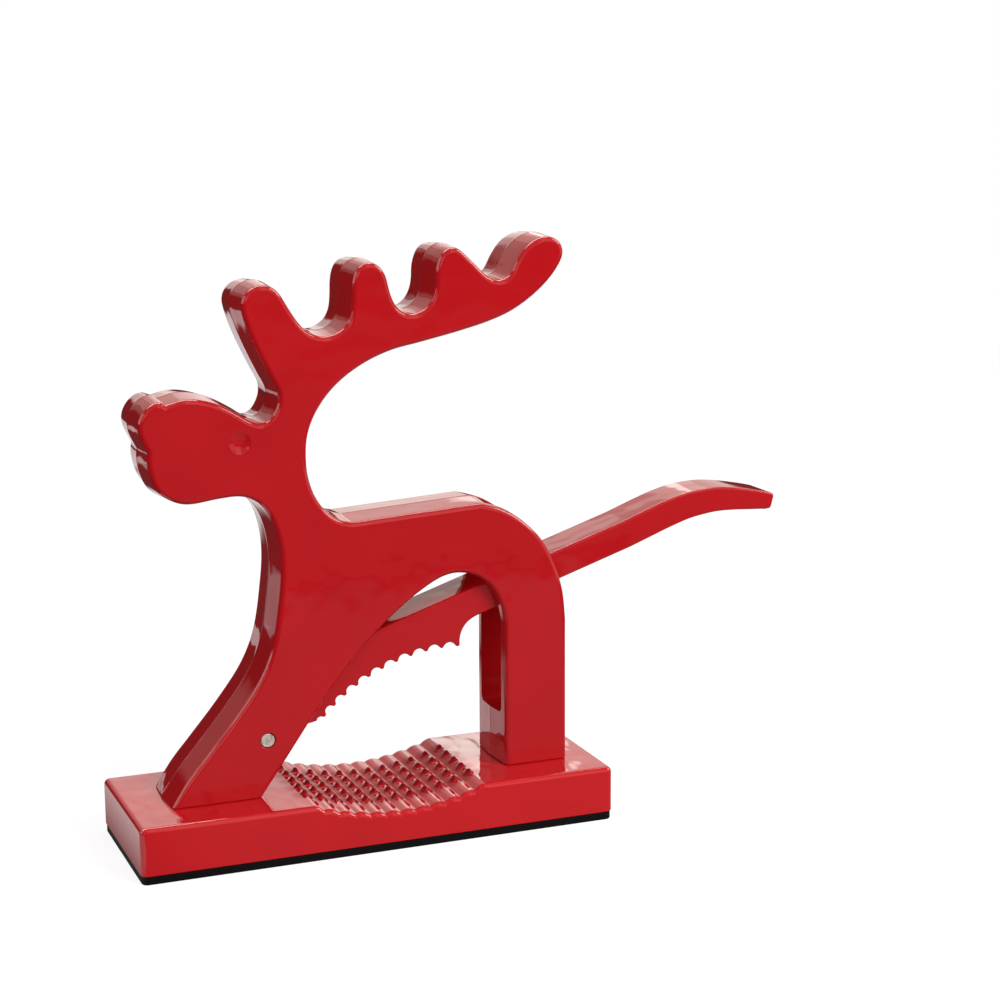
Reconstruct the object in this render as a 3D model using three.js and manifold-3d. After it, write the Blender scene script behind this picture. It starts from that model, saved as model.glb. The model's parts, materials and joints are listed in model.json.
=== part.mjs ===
// Lever nutcracker: an animal figure stands over a studded dish, and a toothed lever pivots in its front leg.
// Millimetres, +Z up, +X from the nose towards the handle, origin at the middle of the pad's underside.
import * as THREE from 'three';
import { mergeVertices } from 'three/addons/utils/BufferGeometryUtils.js';
import Module from 'manifold-3d';

const wasm = await Module();
wasm.setup();

// Fits shared by all pieces
const fit_gap = 0.3;
const overrun = 5;

// Pad and base casting
const pad_thickness = 2.6;
const pad_inset = 0.25;
const base_length = 150;
const base_width = 52;
const base_height = 14.5;
const base_corner_radius = 2;
const base_edge_radius = 1.6;

// Dish in the base, rippled along its length and studded in its middle band
const dish_length = 54;
const dish_depth = 4.8;
const dish_offset = 5;
const ripple_pitch = 4.8;
const ripple_depth = 0.8;
const stud_first_inset = 0.4;
const stud_last_inset = 0.5;
const stud_rows = 5;
const stud_row_pitch = 6.6;
const stud_height = 1.4;
const stud_foot_radius = 1.45;
const stud_top_radius = 0.75;
const stud_root = 1;

// Figure casting
const figure_length = 133.1;
const figure_height = 165.2;
const figure_thickness = 24;
const figure_offset = -1.3;
const figure_edge_radius = 1.6;
const figure_draft = 0.7;
const eye_radius = 3.8;
const eye_depth = 1;
const rear_slot_floor = 16.4;

// Pivot pin and washers
const pin_diameter = 5;
const pin_end_recess = 0.3;
const washer_diameter = 12;
const washer_recess = 1.3;

// Lever, drawn along its bar with the pivot at zero
const lever_thickness = 15.4;
const lever_side_clearance = 0.8;
const lever_edge_radius = 0.8;
const bar_offset = 16.7;
const bar_depth = 9;
const tip_depth = 5.4;
const root_length = 18.3;
const root_corner_radius = 4;
const boss_radius = 8;
const handle_start = 129.6;
const handle_length = 54.2;
const handle_drop = 12.3;
const tip_corner_radius = 1;
const jaw_radius = 57.4;
const jaw_centre_reach = 46.5;
const jaw_centre_drop = 52.9;
const tooth_pitch = 5.25;
const tooth_closing = 0.046;
const tooth_depth = 1.55;
const scallop_radius = 2.1;
const teeth = 11;
const jaw_root_reach = 17;
const jaw_root_drop = 2.4;
const heel_round = 1.2;
const neck_length = 8.5;
const bar_rise_degrees = 18.1;
const heel_degrees = 69.9;
const jaw_end_degrees = -10;
const lift_degrees = 14.5;
const sweep_clearance = 0.8;

// Countersunk screws from below
const screw_diameter = 4;
const screw_length = 23;
const screw_head_diameter = 8;
const screw_head_height = 2.3;
const screw_head_rim = 0.4;
const screw_tip_length = 1;
const screw_socket = 2.5;
const screw_socket_depth = 1.4;
const screw_sink = 0.3;
const screw_spacing = 12;

// Shares of the figure's length and height, from the nose and from the feet's soles
const pivot_share = [0.267, 0.107];
const eye_share = [0.223, 0.657];
const arch_clear_share = 0.6;
const screw_front_share = 0.135;
const screw_rear_share = 0.922;

// Outline of the figure in shares of its length and height. It runs on below the soles, and is trimmed there
const front_share = [
  [0.021, -0.03], [0.081, 0.046], [0.126, 0.089], [0.195, 0.155],
  [0.253, 0.22], [0.284, 0.278], [0.303, 0.363], [0.31, 0.43],
  [0.304, 0.479], [0.286, 0.522], [0.26, 0.548], [0.224, 0.56],
  [0.177, 0.559], [0.099, 0.553], [0.062, 0.564], [0.036, 0.581],
  [0.022, 0.608], [0.017, 0.633], [0.019, 0.65],
];
const nose_share = [
  [0.019, 0.65], [0.001, 0.682], [0, 0.702], [0.013, 0.723],
  [0.034, 0.736], [0.051, 0.738], [0.062, 0.732],
];
const antler_share = [
  [0.062, 0.732], [0.109, 0.74], [0.167, 0.731], [0.22, 0.709],
  [0.248, 0.694], [0.272, 0.688], [0.289, 0.691], [0.302, 0.704],
  [0.312, 0.722], [0.312, 0.744], [0.296, 0.769], [0.259, 0.832],
  [0.239, 0.877], [0.234, 0.901], [0.245, 0.92], [0.27, 0.932],
  [0.295, 0.932], [0.319, 0.92], [0.334, 0.9], [0.359, 0.868],
  [0.377, 0.851], [0.4, 0.84], [0.425, 0.837], [0.449, 0.841],
  [0.47, 0.853], [0.482, 0.871], [0.486, 0.897], [0.488, 0.93],
  [0.499, 0.955], [0.522, 0.965], [0.548, 0.96], [0.565, 0.942],
  [0.576, 0.908], [0.589, 0.885], [0.61, 0.871], [0.63, 0.869],
  [0.652, 0.875], [0.67, 0.889], [0.681, 0.912], [0.685, 0.951],
  [0.702, 0.98], [0.732, 0.986], [0.763, 0.966], [0.814, 0.928],
  [0.838, 0.923], [0.861, 0.931], [0.876, 0.954], [0.905, 0.985],
  [0.947, 1], [0.982, 0.992], [0.994, 0.97], [0.977, 0.94],
  [0.933, 0.902], [0.873, 0.869], [0.819, 0.851], [0.741, 0.834],
  [0.638, 0.816], [0.578, 0.806], [0.51, 0.784], [0.445, 0.748],
  [0.401, 0.705], [0.379, 0.664], [0.374, 0.631], [0.377, 0.589],
  [0.392, 0.551], [0.418, 0.521], [0.448, 0.503], [0.478, 0.497],
];
const rump_share = [
  [0.786, 0.512], [0.83, 0.502], [0.869, 0.486], [0.907, 0.462],
  [0.939, 0.434], [0.963, 0.401], [0.981, 0.366], [0.994, 0.325],
  [1, 0.273],
];
const rear_foot_share = [[1, -0.03], [0.844, -0.03]];
const arch_share = [
  [0.844, 0.247], [0.843, 0.29], [0.827, 0.333], [0.792, 0.367],
  [0.74, 0.384], [0.697, 0.381], [0.639, 0.357], [0.567, 0.314],
  [0.502, 0.266], [0.431, 0.2], [0.372, 0.137],
];
const front_heel_share = [0.225, -0.03];

// Top edge of the handle in shares of its length and drop
const handle_share = [
  [0, 0], [0.15, -0.028], [0.3, -0.049],
  [0.445, -0.024], [0.55, 0.061], [0.64, 0.167],
  [0.755, 0.382], [0.852, 0.61], [0.934, 0.813], [1, 1],
];

// How finely curves are divided
const spline_steps = 2;
const round_steps = 24;
const stud_sides = 6;
const ripple_steps = 6;
const corner_steps = 6;
const edge_steps = 2;

// Places that follow from the sizes above
const base_top = pad_thickness + base_height;
const figure_front = figure_offset - figure_length / 2;
const figure_place = ([along, up]) => new THREE.Vector2(
  figure_front + along * figure_length,
  base_top + up * figure_height,
);
const pivot = figure_place(pivot_share);
const slot_width = lever_thickness + 2 * lever_side_clearance;
const pin_radius = pin_diameter / 2;
const pin_hole_radius = pin_radius + fit_gap;
const bar_rise = THREE.MathUtils.degToRad(bar_rise_degrees);
const lift = THREE.MathUtils.degToRad(lift_degrees);
const screw_places = [];
for (const [end, share] of [['front', screw_front_share], ['rear', screw_rear_share]]) {
  for (const [side, sign] of [['left', 1], ['right', -1]]) {
    const x = figure_front + share * figure_length;
    screw_places.push({ name: `${end}_screw_${side}`, x, y: sign * screw_spacing / 2 });
  }
}

// Materials
const enamel = new THREE.MeshStandardMaterial({ color: 0xb81c22, roughness: 0.18, metalness: 0 });
const steel = new THREE.MeshStandardMaterial({ color: 0xd9d6cf, roughness: 0.35, metalness: 1 });
const zinc_steel = new THREE.MeshStandardMaterial({ color: 0xb9bcc0, roughness: 0.4, metalness: 1 });
const rubber = new THREE.MeshStandardMaterial({ color: 0x0e0d0d, roughness: 0.8, metalness: 0 });
const nylon = new THREE.MeshStandardMaterial({ color: 0xe9e6dc, roughness: 0.5, metalness: 0 });

// A closed geometry as a solid that can be joined and cut
function solid(geometry) {
  const bare = geometry.clone();
  for (const name of Object.keys(bare.attributes)) {
    if (name !== 'position') bare.deleteAttribute(name);
  }
  const merged = mergeVertices(bare);
  const corners = merged.index.array;
  const kept = [];
  for (let i = 0; i < corners.length; i += 3) {
    const [a, b, c] = corners.slice(i, i + 3);
    if (a !== b && b !== c && c !== a) kept.push(a, b, c);
  }
  return new wasm.Manifold(new wasm.Mesh({
    numProp: 3,
    vertProperties: new Float32Array(merged.attributes.position.array),
    triVerts: new Uint32Array(kept),
  }));
}

// A solid back as a named mesh
function piece(name, body, material) {
  const { vertProperties, triVerts } = body.getMesh();
  const geometry = new THREE.BufferGeometry();
  geometry.setAttribute('position', new THREE.BufferAttribute(vertProperties, 3));
  geometry.setIndex(new THREE.BufferAttribute(triVerts, 1));
  geometry.computeVertexNormals();
  const mesh = new THREE.Mesh(geometry, material);
  mesh.name = name;
  return mesh;
}

// A smooth run through knots, each knot kept
function smooth(knots) {
  const curve = new THREE.CatmullRomCurve3(
    knots.map((knot) => new THREE.Vector3(knot.x, knot.y, 0)),
    false,
    'centripetal',
  );
  return curve.getPoints(spline_steps * (knots.length - 1)).map((p) => new THREE.Vector2(p.x, p.y));
}

// A point on a circle, at an angle in degrees
function on_circle(centre, radius, degrees) {
  const angle = THREE.MathUtils.degToRad(degrees);
  return new THREE.Vector2(Math.cos(angle), Math.sin(angle)).multiplyScalar(radius).add(centre);
}

// A round stretch about a centre, from one angle to another in degrees
function arc(centre, radius, from, to, steps) {
  const points = [];
  for (let i = 0; i <= steps; i += 1) {
    points.push(on_circle(centre, radius, from + (to - from) * i / steps));
  }
  return points;
}

// Outline points moved outwards along their mitred normals, the outline running anticlockwise
function moved(points, distance) {
  return points.map((point, i) => {
    const run_in = point.clone().sub(points[(i + points.length - 1) % points.length]).normalize();
    const run_out = points[(i + 1) % points.length].clone().sub(point).normalize();
    const normal = new THREE.Vector2(run_in.y + run_out.y, -run_in.x - run_out.x).normalize();
    const square = new THREE.Vector2(run_in.y, -run_in.x);
    return point.clone().addScaledVector(normal, distance / normal.dot(square));
  });
}

// A plate in the XZ plane, centred on y = 0, from rings of its outline: each face's edge is
// rounded, and the side walls lean out towards a parting line in the middle by the draft
function plate(points, thickness, edge_radius, draft) {
  const outline = THREE.ShapeUtils.isClockWise(points) ? [...points].reverse() : points;
  const half = [];
  for (let i = 0; i <= edge_steps; i += 1) {
    const angle = Math.PI / 2 * i / edge_steps;
    half.push([
      thickness / 2 - edge_radius * (1 - Math.cos(angle)),
      -edge_radius * (1 - Math.sin(angle)),
    ]);
  }
  const one_side = edge_radius > 0 ? half : [half[0]];
  const far_side = one_side.map(([y, out]) => [-y, out]).reverse();
  const rings = [...one_side, ...(draft > 0 ? [[0, draft]] : []), ...far_side];
  const count = outline.length;
  const positions = rings.flatMap(([y, out]) => (
    moved(outline, out).flatMap((point) => [point.x, y, point.y])
  ));
  const cap = THREE.ShapeUtils.triangulateShape(moved(outline, rings[0][1]), []);
  const last = (rings.length - 1) * count;
  const corners = cap.flatMap(([a, b, c]) => [a, c, b, last + a, last + b, last + c]);
  for (let ring = 0; ring < last; ring += count) {
    for (let i = 0; i < count; i += 1) {
      const next = (i + 1) % count;
      const [a, b, c, d] = [ring + i, ring + next, ring + count + i, ring + count + next];
      corners.push(a, b, c, b, d, c);
    }
  }
  const geometry = new THREE.BufferGeometry();
  geometry.setAttribute('position', new THREE.Float32BufferAttribute(positions, 3));
  geometry.setIndex(corners);
  return solid(geometry);
}

function box(width, depth, height, x, y, z) {
  const geometry = new THREE.BoxGeometry(width, depth, height);
  geometry.translate(x, y, z);
  return solid(geometry);
}

// A cylinder across the object, along Y
function cross_cylinder(radius, length, x, z) {
  const geometry = new THREE.CylinderGeometry(radius, radius, length, round_steps);
  geometry.translate(x, 0, z);
  return solid(geometry);
}

// A turned shape about a vertical axis, from pairs of radius and height
function turned(profile) {
  const geometry = new THREE.LatheGeometry(
    profile.map(([radius, height]) => new THREE.Vector2(radius, height)),
    round_steps,
  );
  geometry.rotateX(Math.PI / 2);
  return solid(geometry);
}

// A rounded slab from z = bottom to z = top whose upper edge is rounded too
function rounded_slab(length, width, bottom, top, corner_radius, edge_radius) {
  const x = length / 2 - corner_radius;
  const y = width / 2 - corner_radius;
  const corners = [[x, y, 0], [-x, y, 90], [-x, -y, 180], [x, -y, 270]];
  const points = corners.flatMap(([cx, cy, from]) => (
    arc(new THREE.Vector2(cx, cy), corner_radius, from, from + 90, corner_steps)
  ));
  const geometry = new THREE.ExtrudeGeometry(new THREE.Shape(points), {
    depth: top - bottom,
    bevelEnabled: edge_radius > 0,
    bevelThickness: edge_radius,
    bevelSize: edge_radius,
    bevelOffset: -edge_radius,
    bevelSegments: edge_steps,
    steps: 1,
  });
  geometry.translate(0, 0, bottom - edge_radius);
  const whole = solid(geometry);
  if (edge_radius === 0) return whole;
  const reach = top - bottom + overrun;
  return whole.subtract(box(
    length + overrun, width + overrun, reach,
    0, 0, bottom - reach / 2,
  ));
}

// Height of the dish's floor above the object's underside, without the ripple
const dish_radius = ((dish_length / 2) ** 2 + dish_depth ** 2) / (2 * dish_depth);
function dish_floor(x) {
  const from_middle = x - dish_offset;
  return base_top - dish_depth + dish_radius - Math.sqrt(dish_radius ** 2 - from_middle ** 2);
}

const first_column = dish_offset - dish_length / 2 + stud_first_inset;
const stud_columns = Math.floor((dish_length - stud_first_inset - stud_last_inset) / ripple_pitch) + 1;

// The ripple dips between the columns of studs
function rippled_floor(x) {
  const phase = (x - first_column) / ripple_pitch;
  return dish_floor(x) - ripple_depth * (1 - Math.abs(Math.cos(Math.PI * phase)));
}

function dish_cutter() {
  const first = dish_offset - dish_length / 2;
  const points = [];
  const count = Math.round(dish_length / ripple_pitch * ripple_steps);
  for (let i = 0; i <= count; i += 1) {
    const x = first + dish_length * i / count;
    points.push(new THREE.Vector2(x, i === 0 || i === count ? base_top : rippled_floor(x)));
  }
  points.push(new THREE.Vector2(first + dish_length + dish_depth, base_top + dish_depth));
  points.push(new THREE.Vector2(first - dish_depth, base_top + dish_depth));
  return plate(points, base_width + overrun, 0, 0);
}

function stud(x, y) {
  const height = stud_root + stud_height;
  const geometry = new THREE.CylinderGeometry(stud_top_radius, stud_foot_radius, height, stud_sides);
  geometry.rotateX(Math.PI / 2);
  geometry.translate(x, y, rippled_floor(x) + stud_height - height / 2);
  return solid(geometry);
}

// The studs stand in columns on the ripple's crests
function stud_places() {
  const places = [];
  for (let column = 0; column < stud_columns; column += 1) {
    const x = first_column + column * ripple_pitch;
    for (let row = 0; row < stud_rows; row += 1) {
      places.push([x, (row - (stud_rows - 1) / 2) * stud_row_pitch]);
    }
  }
  return places;
}

const screw_bottom = pad_thickness + screw_sink;

// A screw's turned profile from its head up, or its hole's when grown by a clearance
function screw_profile(grown) {
  const shank = screw_diameter / 2 + grown;
  const head = screw_head_diameter / 2 + grown;
  const rim = screw_head_rim + grown;
  return [
    [0, grown > 0 ? -overrun : 0], [head, grown > 0 ? -overrun : 0], [head, rim],
    [shank, screw_head_height + grown], [shank, screw_length - screw_tip_length + grown],
    [shank - screw_tip_length / 2, screw_length + grown], [0, screw_length + grown],
  ];
}

function screw_cutters() {
  return screw_places.map(({ x, y }) => turned(screw_profile(fit_gap)).translate([x, y, screw_bottom]));
}

function make_screw({ name, x, y }) {
  const socket = new THREE.CylinderGeometry(
    screw_socket / Math.sqrt(3), screw_socket / Math.sqrt(3), 2 * screw_socket_depth, stud_sides,
  );
  socket.rotateX(Math.PI / 2);
  const mesh = piece(name, turned(screw_profile(0)).subtract(solid(socket)), zinc_steel);
  mesh.position.set(x, y, screw_bottom);
  return mesh;
}

function make_pad() {
  const radius = base_corner_radius - pad_inset;
  const length = base_length - 2 * pad_inset;
  const width = base_width - 2 * pad_inset;
  return piece('non_slip_pad', rounded_slab(length, width, 0, pad_thickness, radius, 0), rubber);
}

function make_base() {
  let body = rounded_slab(
    base_length, base_width, pad_thickness, base_top, base_corner_radius, base_edge_radius,
  );
  body = body.subtract(dish_cutter());
  for (const [x, y] of stud_places()) body = body.add(stud(x, y));
  for (const cutter of screw_cutters()) body = body.subtract(cutter);
  return piece('base_casting', body, enamel);
}

// Smooth runs meet at corners, and a straight back joins the antlers to the rump
function figure_outline() {
  return [
    ...smooth(front_share.map(figure_place)).slice(0, -1),
    ...smooth(nose_share.map(figure_place)).slice(0, -1),
    ...smooth(antler_share.map(figure_place)),
    ...smooth(rump_share.map(figure_place)),
    ...rear_foot_share.map(figure_place),
    ...smooth(arch_share.map(figure_place)),
    figure_place(front_heel_share),
  ];
}

// The lever's slot: the lever's sweep from the lifted stop down, out through the rump
function slot_outline() {
  const angle = bar_rise + lift;
  const along = new THREE.Vector2(Math.cos(angle), Math.sin(angle));
  const across = new THREE.Vector2(-along.y, along.x);
  const on_bar = (distance, height) => (
    along.clone().multiplyScalar(distance).addScaledVector(across, height).add(pivot)
  );
  const radius = boss_radius + sweep_clearance;
  const corner = on_bar(root_length - sweep_clearance, bar_offset + sweep_clearance);
  const to_corner = corner.clone().sub(pivot);
  const corner_angle = THREE.MathUtils.radToDeg(to_corner.angle() + Math.acos(radius / to_corner.length()));
  const rear = figure_front + figure_length + overrun;
  const arch_clear = figure_front + arch_clear_share * figure_length;
  return [
    new THREE.Vector2(rear, base_top + rear_slot_floor),
    new THREE.Vector2(rear, corner.y + (rear - corner.x) * Math.tan(angle)),
    corner,
    ...arc(pivot, radius, corner_angle, 270, round_steps / 2),
    new THREE.Vector2(arch_clear, pivot.y - radius),
    new THREE.Vector2(arch_clear, base_top + rear_slot_floor),
  ];
}

function eye_cutters() {
  const radius = (eye_radius ** 2 + eye_depth ** 2) / (2 * eye_depth);
  const place = figure_place(eye_share);
  return [1, -1].map((side) => {
    const geometry = new THREE.SphereGeometry(radius, round_steps, round_steps);
    geometry.translate(place.x, side * (figure_thickness / 2 + radius - eye_depth), place.y);
    return solid(geometry);
  });
}

function make_figure() {
  let body = plate(figure_outline(), figure_thickness, figure_edge_radius, figure_draft);
  body = body.subtract(box(
    figure_length + 2 * overrun, figure_thickness + overrun, 2 * overrun,
    figure_offset, 0, base_top - overrun,
  ));
  body = body.subtract(plate(slot_outline(), slot_width, 0, 0));
  body = body.subtract(cross_cylinder(pin_hole_radius, figure_thickness + overrun, pivot.x, pivot.y));
  for (const cutter of eye_cutters()) body = body.subtract(cutter);
  for (const cutter of screw_cutters()) body = body.subtract(cutter);
  return piece('figure_casting', body, enamel);
}

// The bar's top edge with the handle, from the root to the tip
function bar_top() {
  const handle = smooth(handle_share.map(([along, down]) => new THREE.Vector2(
    handle_start + along * handle_length,
    bar_offset - down * handle_drop,
  )));
  return [new THREE.Vector2(root_length + root_corner_radius, bar_offset), ...handle];
}

// The underside follows the top edge, a bar's depth below it, and thins towards the tip
function bar_underside(top) {
  return top.map((point, i) => {
    const before = top[Math.max(i - 1, 0)];
    const after = top[Math.min(i + 1, top.length - 1)];
    const run = after.clone().sub(before).normalize();
    const past_start = Math.max(0, point.x - handle_start) / handle_length;
    const depth = bar_depth + (tip_depth - bar_depth) * past_start ** 3;
    return new THREE.Vector2(point.x + run.y * depth, point.y - run.x * depth);
  });
}

// Angle of a tooth about the jaw's centre, counted from the heel: the teeth close up towards the pivot
function tooth_angle(tooth) {
  const along = tooth * (tooth_pitch - tooth * tooth_closing);
  return heel_degrees + THREE.MathUtils.radToDeg(along / jaw_radius);
}

function lever_outline() {
  const top = bar_top();
  const underside = bar_underside(top);
  const tip_top = top[top.length - 1];
  const tip_bottom = underside[underside.length - 1];
  const tip_run = tip_top.clone().sub(top[top.length - 2]).setLength(tip_corner_radius);
  const tip_rise = tip_top.clone().sub(tip_bottom).setLength(tip_corner_radius);
  const root_corner = new THREE.Vector2(root_length, bar_offset);
  const root_angle = root_corner.angle() + Math.acos(boss_radius / root_corner.length());
  const root_degrees = THREE.MathUtils.radToDeg(root_angle);
  const hinge = new THREE.Vector2(0, 0);
  const root_foot = on_circle(hinge, boss_radius, root_degrees);
  const root_run = root_foot.clone().sub(root_corner).setLength(root_corner_radius);
  const root_round = new THREE.QuadraticBezierCurve(
    top[0], root_corner, root_corner.clone().add(root_run),
  ).getPoints(corner_steps);
  const jaw_centre = new THREE.Vector2(jaw_centre_reach, -jaw_centre_drop);
  const jaw_last = heel_degrees + THREE.MathUtils.radToDeg(heel_round / jaw_radius);
  const jaw_root = new THREE.Vector2(jaw_root_reach, -jaw_root_drop);
  const jaw = arc(jaw_centre, jaw_radius, tooth_angle(teeth - 1 / 2), jaw_last, round_steps);
  const heel = on_circle(jaw_centre, jaw_radius, heel_degrees);
  const heel_top = new THREE.Vector2(heel.x + heel_round, heel.y + heel_round);
  const heel_corner = new THREE.QuadraticBezierCurve(jaw[jaw.length - 1], heel, heel_top);
  const neck = new THREE.QuadraticBezierCurve(
    heel_top,
    new THREE.Vector2(heel.x + neck_length / 3, bar_offset - bar_depth),
    new THREE.Vector2(heel.x + neck_length, bar_offset - bar_depth),
  );
  return [
    ...root_round,
    ...arc(hinge, boss_radius, root_degrees, 360 + jaw_end_degrees, round_steps),
    jaw_root,
    ...jaw.slice(0, -1),
    ...heel_corner.getPoints(edge_steps).slice(0, -1),
    ...neck.getPoints(corner_steps),
    ...underside.slice(1, -1),
    tip_bottom.clone().sub(tip_run),
    tip_bottom.clone().add(tip_rise),
    tip_top.clone().sub(tip_rise),
    tip_top.clone().sub(tip_run),
    ...top.slice(1, -1).reverse(),
  ];
}

// Round scallops cut into the jaw's arc leave a tooth between each pair, and the last one ends the
// flat that runs from the boss to the jaw
function scallop_cutters() {
  const jaw_centre = new THREE.Vector2(jaw_centre_reach, -jaw_centre_drop);
  const reach = jaw_radius + tooth_depth - scallop_radius;
  const cutters = [];
  for (let gap = 0; gap < teeth; gap += 1) {
    const place = on_circle(jaw_centre, reach, tooth_angle(gap + 1 / 2));
    cutters.push(cross_cylinder(scallop_radius, lever_thickness + overrun, place.x, place.y));
  }
  return cutters;
}

const washer_radius = washer_diameter / 2;

function make_lever() {
  let body = plate(lever_outline(), lever_thickness, lever_edge_radius, 0);
  for (const cutter of scallop_cutters()) body = body.subtract(cutter);
  body = body.subtract(cross_cylinder(pin_hole_radius, lever_thickness + overrun, 0, 0));
  for (const side of [1, -1]) {
    const recess = cross_cylinder(washer_radius + fit_gap, 2 * washer_recess, 0, 0);
    body = body.subtract(recess.translate([0, side * lever_thickness / 2, 0]));
  }
  return piece('lever', body, enamel);
}

// A washer fills the room between the lever's recess and the slot's wall
function make_washer(name, side) {
  const inner = lever_thickness / 2 - washer_recess + fit_gap;
  const thickness = slot_width / 2 - fit_gap - inner;
  const ring = cross_cylinder(washer_radius, thickness, 0, 0)
    .subtract(cross_cylinder(pin_hole_radius, thickness + overrun, 0, 0));
  const mesh = piece(name, ring, nylon);
  mesh.position.set(0, side * (inner + thickness / 2), 0);
  return mesh;
}

function make_pin() {
  return piece('pivot_pin', cross_cylinder(pin_radius, figure_thickness - 2 * pin_end_recess, 0, 0), steel);
}

const lever = make_lever();
lever.rotation.y = -bar_rise;

const at_pivot = new THREE.Group();
at_pivot.position.set(pivot.x, 0, pivot.y);
at_pivot.add(make_pin(), make_washer('washer_left', 1), make_washer('washer_right', -1), lever);

const nutcracker = new THREE.Group();
nutcracker.add(make_pad(), make_base(), make_figure(), at_pivot, ...screw_places.map(make_screw));

export default nutcracker;
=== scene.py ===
import json
import math

import bmesh
import bpy
import numpy as np
from mathutils import Matrix, Vector


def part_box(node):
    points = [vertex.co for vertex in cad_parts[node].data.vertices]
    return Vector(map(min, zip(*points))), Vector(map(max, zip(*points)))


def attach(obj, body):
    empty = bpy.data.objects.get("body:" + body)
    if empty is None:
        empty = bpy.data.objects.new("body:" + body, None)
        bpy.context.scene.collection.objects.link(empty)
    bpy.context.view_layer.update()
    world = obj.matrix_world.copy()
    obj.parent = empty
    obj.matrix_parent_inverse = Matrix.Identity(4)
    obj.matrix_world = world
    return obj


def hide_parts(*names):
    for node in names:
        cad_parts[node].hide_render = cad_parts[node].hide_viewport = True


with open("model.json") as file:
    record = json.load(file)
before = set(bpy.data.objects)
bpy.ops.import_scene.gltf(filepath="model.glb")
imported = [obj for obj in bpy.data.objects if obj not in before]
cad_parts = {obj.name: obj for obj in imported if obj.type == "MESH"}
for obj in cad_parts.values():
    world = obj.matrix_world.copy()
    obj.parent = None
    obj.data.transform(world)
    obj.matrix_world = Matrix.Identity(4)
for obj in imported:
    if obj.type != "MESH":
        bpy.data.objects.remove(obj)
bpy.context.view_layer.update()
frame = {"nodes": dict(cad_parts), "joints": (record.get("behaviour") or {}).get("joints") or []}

mm = 0.001

# Distances below which points count as one, edges as lying in a plane, and corners as lying on a circle
merge_distance = 1e-7
plane_tolerance = 1e-5
circle_tolerance = 1e-4

# Camera at the photograph's viewing angle
camera_place = (-0.19795, -0.61181, 0.23105)
camera_yaw = math.radians(21.877)
camera_pitch = math.radians(11.254)
camera_roll = math.radians(-0.308)
camera_lens = 77.487
sensor_width = 36.0

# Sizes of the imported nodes
pad_low, pad_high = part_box("non_slip_pad")
base_low, base_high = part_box("base_casting")
figure_low, figure_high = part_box("figure_casting")
pin_low, pin_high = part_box("pivot_pin")
hinge = frame["joints"][0]
pivot = Vector(hinge["pos_m"])

# Base casting: edges, dish, ripples and studs
base_corner_radius = 2 * mm
base_edge_radius = 1.6 * mm
base_sole_radius = 0.4 * mm
dish_length = 54 * mm
dish_depth = 4.8 * mm
dish_middle = 5 * mm
dish_rim_softness = 0.5 * mm
ripple_pitch = 4.8 * mm
ripple_depth = 0.8 * mm
dish_margin = 2 * mm
valley_softness = 0.22
stud_first_inset = 0.4 * mm
stud_last_inset = 0.5 * mm
stud_rows = 5
stud_row_pitch = 6.6 * mm
stud_height = 1.5 * mm
stud_tip_radius = 0.85 * mm
stud_flank_angle = math.radians(60)
stud_foot_softness = 0.3 * mm
stud_reach = 1.6 * mm
fine_step = 0.2 * mm
coarse_step = 2.5 * mm
base_edge_steps = 8
base_sole_steps = 3
corner_steps = 8
base_sharp_degrees = 80

# Figure casting
draft = 0.7 * mm
face_radius = 1.6 * mm
sole_radius = 0.5 * mm
mouth_radius = 0.7 * mm
seam_height = 0.1 * mm
seam_width = 0.8 * mm
eye_share = (0.223, 0.657)
eye_radius = 3.6 * mm
eye_depth = 0.85 * mm
eye_rim_radius = 1.2 * mm
eye_rings = 40
eye_steps = 64
slot_root_steps = 24
slot_width = 17 * mm
slot_floor = 16.4 * mm
slot_corner_radius = 2 * mm
pin_radius = 2.2 * mm
pin_hole_radius = 2.4 * mm
hole_edge_radius = 0.3 * mm
figure_spacing = 0.8 * mm

# Lever, drawn along its bar with the pivot at zero
lever_thickness = 15.4 * mm
bar_offset = 16.7 * mm
bar_depth = 9 * mm
bar_edge_radius = 0.8 * mm
tip_depth = 5.4 * mm
tip_corner_radius = 1.4 * mm
root_length = 18.3 * mm
root_corner_radius = 4 * mm
boss_radius = 8 * mm
handle_start = 129.6 * mm
handle_length = 54.2 * mm
handle_drop = 12.3 * mm
jaw_radius = 57.4 * mm
jaw_centre = (46.5 * mm, -52.9 * mm)
jaw_root = (17 * mm, -2.4 * mm)
teeth = 11
tooth_pitch = 5.25
tooth_closing = 0.046
tooth_depth = 1.55 * mm
tooth_tip_radius = 0.75 * mm
tooth_edge_radius = 0.5 * mm
neck_length = 8.5 * mm
bar_rise = math.radians(18.1)
heel_degrees = 69.9
boss_end_degrees = -10
lift = math.radians(14.5)
sweep_clearance = 0.8 * mm
handle_spacing = 1 * mm
bar_spacing = 1.2 * mm
neck_spacing = 0.5 * mm
jaw_spacing = 0.2 * mm
boss_steps = 32
tooth_steps = 40
heel_steps = 12
neck_steps = 24
root_corner_steps = 8
jaw_root_steps = 6
tip_corner_steps = 5
edge_radius_passes = 6

# Pad and pin
pad_edge_radius = 0.5 * mm
pad_edge_steps = 3
pin_edge_radius = 0.4 * mm
pin_edge_steps = 6
pin_dish_depth = 0.12 * mm
pin_dish_shares = (0.05, 0.3, 0.5, 0.65, 0.75)

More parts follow.
